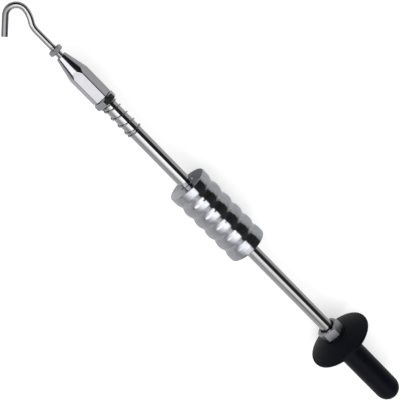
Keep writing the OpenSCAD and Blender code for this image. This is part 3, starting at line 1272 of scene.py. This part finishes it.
@dataclass
class Studio:
    """The floor, the light tent that the metal reflects, the lamp and the camera.

    The floor's lift is pairs of a distance from the grip and a brightness, higher where the lamp no
    longer reaches. The tent's stops are pairs of an angle about the tool's axis, in degrees, and a
    brightness. Its masks are pairs of a place along X and a share.
    """

    floor_size: float = 12.0
    floor_gap: float = 0.2 * MM
    floor_colour: Colour = (0.64, 0.64, 0.64)
    floor_roughness: float = 0.9
    floor_lift: Stops = ((0.0, 0.50), (1.0, 0.50), (3.2, 0.65), (9.0, 0.65))
    world_fill: float = 0.55
    tent_half_width: float = 3.0
    tent_height: float = 3.0
    tent_low: float = -7.0
    tent_high: float = 10.0
    tent_gap: float = 1 * MM
    open_stops: Stops = (
        (-180, 0.30), (-165, 0.45), (-148, 0.62), (-110, 0.60), (-90, 0.54), (-68, 0.42), (-58, 0.48),
        (-42, 0.90), (-26, 1.40), (-10, 1.75), (9, 1.75), (13, 0.024), (68, 0.024), (72, 0.42),
        (90, 0.54), (130, 0.58), (150, 0.50), (165, 0.40), (180, 0.30),
    )
    near_stops: Stops = (
        (-180, 0.30), (-165, 0.45), (-148, 0.55), (-120, 0.44), (-110, 0.34), (-95, 0.06), (-67, 0.05),
        (-62, 1.75), (-2, 1.75), (2, 0.018), (66, 0.018), (70, 0.42), (90, 0.54), (130, 0.58),
        (150, 0.50), (165, 0.40), (180, 0.30),
    )
    far_stops: Stops = (
        (-180, 0.30), (-165, 0.45), (-148, 0.60), (-110, 0.64), (-84, 0.58), (-60, 0.42), (-45, 0.52),
        (-30, 0.84), (-12, 0.66), (1, 0.62), (5, 0.04), (70, 0.04), (76, 0.20), (92, 0.30), (112, 0.42),
        (130, 0.50), (150, 0.45), (165, 0.38), (180, 0.30),
    )
    near_lean: float = 0.35
    near_mask: Stops = ((-7.0, 1.0), (-1.09, 1.0), (-1.02, 0.0), (10.0, 0.0))
    far_mask: Stops = (
        (-7.0, 0.0), (0.86, 0.0), (1.04, 0.40), (1.56, 0.46), (1.80, 0.85), (2.20, 1.0), (10.0, 1.0),
    )
    bar_mask: Stops = (
        (-7.0, 0.40), (-2.60, 0.40), (-1.90, 1.0), (1.80, 1.0), (1.90, 0.35), (2.02, 0.35), (2.12, 1.0),
        (10.0, 1.0),
    )
    lamp_size: Pair = (1.6, 1.0)
    lamp_place: Place = (-0.3, -0.35, 1.2)
    lamp_aim: Place = (-0.3, 0.0, 0.0)
    lamp_power: float = 13.0
    camera_aim: Place = (-0.3108, -0.0021, 0.0)
    camera_distance: float = 1.0452
    camera_tilt: float = 19.0
    axis_slope: float = 45.43
    lens: float = 81.8

    def __post_init__(self) -> None:
        """Read the height of the floor from the frame: the guard's rim stands on it."""
        self.floor_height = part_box("grip")[0].z - self.floor_gap

    def floor(self) -> None:
        """Lay the pale floor, which keeps the tool's shadow."""
        clear_selection()
        bpy.ops.mesh.primitive_plane_add(size=self.floor_size, location=(0, 0, self.floor_height))
        floor = bpy.context.object
        floor.name = "studio_floor"
        bpy.ops.object.transform_apply()
        sheet = Sheet("pale_floor")
        place = sheet.node("TexCoord").outputs["Object"]
        distance = sheet.node("VectorMath", {0: place}, operation="LENGTH").outputs["Value"]
        lift = sheet.maths("MULTIPLY", sheet.seen(), sheet.ramp(distance, self.floor_lift))
        sheet.put(sheet.surface, {
            "Base Color": self.floor_colour + (1,), "Roughness": self.floor_roughness,
            "Specular IOR Level": 0.0, "Emission Color": WHITE, "Emission Strength": lift,
        })
        floor.data.materials.append(sheet.material)

    def world(self) -> None:
        """Set the white surroundings and the plain fill light that they give."""
        world = bpy.data.worlds.new("white_surroundings")
        bpy.context.scene.world = world
        world.use_nodes = True
        nodes = Nodes(world.node_tree)
        strength = nodes.remap(nodes.seen(), self.world_fill, 1.0)
        nodes.put(nodes.tree.nodes["Background"], {"Color": WHITE, "Strength": strength})

    def tent(self) -> None:
        """Put up the long light tent, which only mirror-like surfaces see."""
        clear_selection()
        floor = self.floor_height + self.tent_gap
        middle = (self.tent_low + self.tent_high) / 2
        bpy.ops.mesh.primitive_cube_add(
            size=1, location=(middle, 0, (floor + self.tent_height) / 2),
            scale=(self.tent_high - self.tent_low, 2 * self.tent_half_width, self.tent_height - floor),
        )
        tent = bpy.context.object
        tent.name = "light_tent"
        bpy.ops.object.transform_apply()
        sheet = Sheet("tent_cloth")
        sheet.put(sheet.surface, {
            "Base Color": BLACK, "Specular IOR Level": 0.0, "Emission Color": WHITE,
            "Emission Strength": self.tent_level(sheet),
        })
        tent.data.materials.append(sheet.material)
        tent.visible_camera = False
        tent.visible_diffuse = False
        tent.visible_shadow = False
        tent.visible_transmission = False
        tent.visible_volume_scatter = False

    def tent_level(self, sheet: Sheet) -> Socket:
        """Add the nodes for the tent's brightness, which changes round the tool and along it.

        Args:
            sheet: The tent's node tree.

        Returns:
            The brightness.
        """
        axes = sheet.node("SeparateXYZ", {"Vector": sheet.node("TexCoord").outputs["Object"]}).outputs
        turn = sheet.maths("ARCTAN2", axes["Y"], axes["Z"])
        angle = sheet.maths("MULTIPLY", turn, math.degrees(1))
        leaned = sheet.maths("MULTIPLY_ADD", sheet.maths("COSINE", turn), self.near_lean, axes["X"])
        level = sheet.ramp(angle, self.open_stops)
        near = (leaned, self.near_stops, self.near_mask)
        far = (axes["X"], self.far_stops, self.far_mask)
        for along, stops, mask in (near, far):
            level = sheet.mix(sheet.ramp(along, mask), level, sheet.ramp(angle, stops))
        return sheet.maths("MULTIPLY", level, sheet.ramp(axes["X"], self.bar_mask))

    def lamp(self) -> None:
        """Hang one large soft lamp over the tool."""
        clear_selection()
        bpy.ops.object.light_add(type="AREA", location=self.lamp_place)
        lamp = bpy.context.object
        lamp.name = "soft_lamp"
        lamp.data.shape = "RECTANGLE"
        lamp.data.size, lamp.data.size_y = self.lamp_size
        lamp.data.energy = self.lamp_power
        aim = Vector(self.lamp_aim) - lamp.location
        lamp.rotation_euler = aim.to_track_quat("-Z", "Y").to_euler()
        lamp.visible_camera = False
        lamp.visible_glossy = False

    def camera(self) -> None:
        """Set the camera where the photograph was taken from."""
        data = bpy.data.cameras.new("camera")
        camera = bpy.data.objects.new("camera", data)
        bpy.context.scene.collection.objects.link(camera)
        bpy.context.scene.camera = camera
        data.lens = self.lens
        tilt = math.radians(self.camera_tilt)
        back = Vector((-math.sin(tilt), 0, math.cos(tilt)))
        place = Vector(self.camera_aim) + self.camera_distance * back
        along = Vector((1, 0, 0)) - back.x * back
        along.normalize()
        across = back.cross(along)
        slope = math.radians(self.axis_slope)
        right = math.cos(slope) * along + math.sin(slope) * across
        up = math.cos(slope) * across - math.sin(slope) * along
        turn = Matrix((right, up, back)).transposed()
        camera.matrix_world = Matrix.Translation(place) @ turn.to_4x4()

    def build(self) -> None:
        """Set up the whole studio."""
        self.floor()
        self.world()
        self.tent()
        self.lamp()
        self.camera()
        bpy.context.scene.view_settings.view_transform = "Standard"


def report(piece: Piece) -> None:
    """Write one line on a finished piece to the log."""
    faces = sum(len(polygon.vertices) - 2 for polygon in piece.data.polygons)
    log.info("%s: %d triangles, rides on %s", piece.name, faces, piece.parent.name)


def main() -> None:
    """Build the sub-assemblies and the studio, and report each piece."""
    logging.basicConfig(level=logging.INFO, format="%(name)s: %(message)s")
    for assembly in (HookEnd(), Bumper(), SlidingPair(), HandGrip()):
        for piece in assembly.build():
            report(piece)
    Studio().build()


if __name__ == "__main__":
    main()
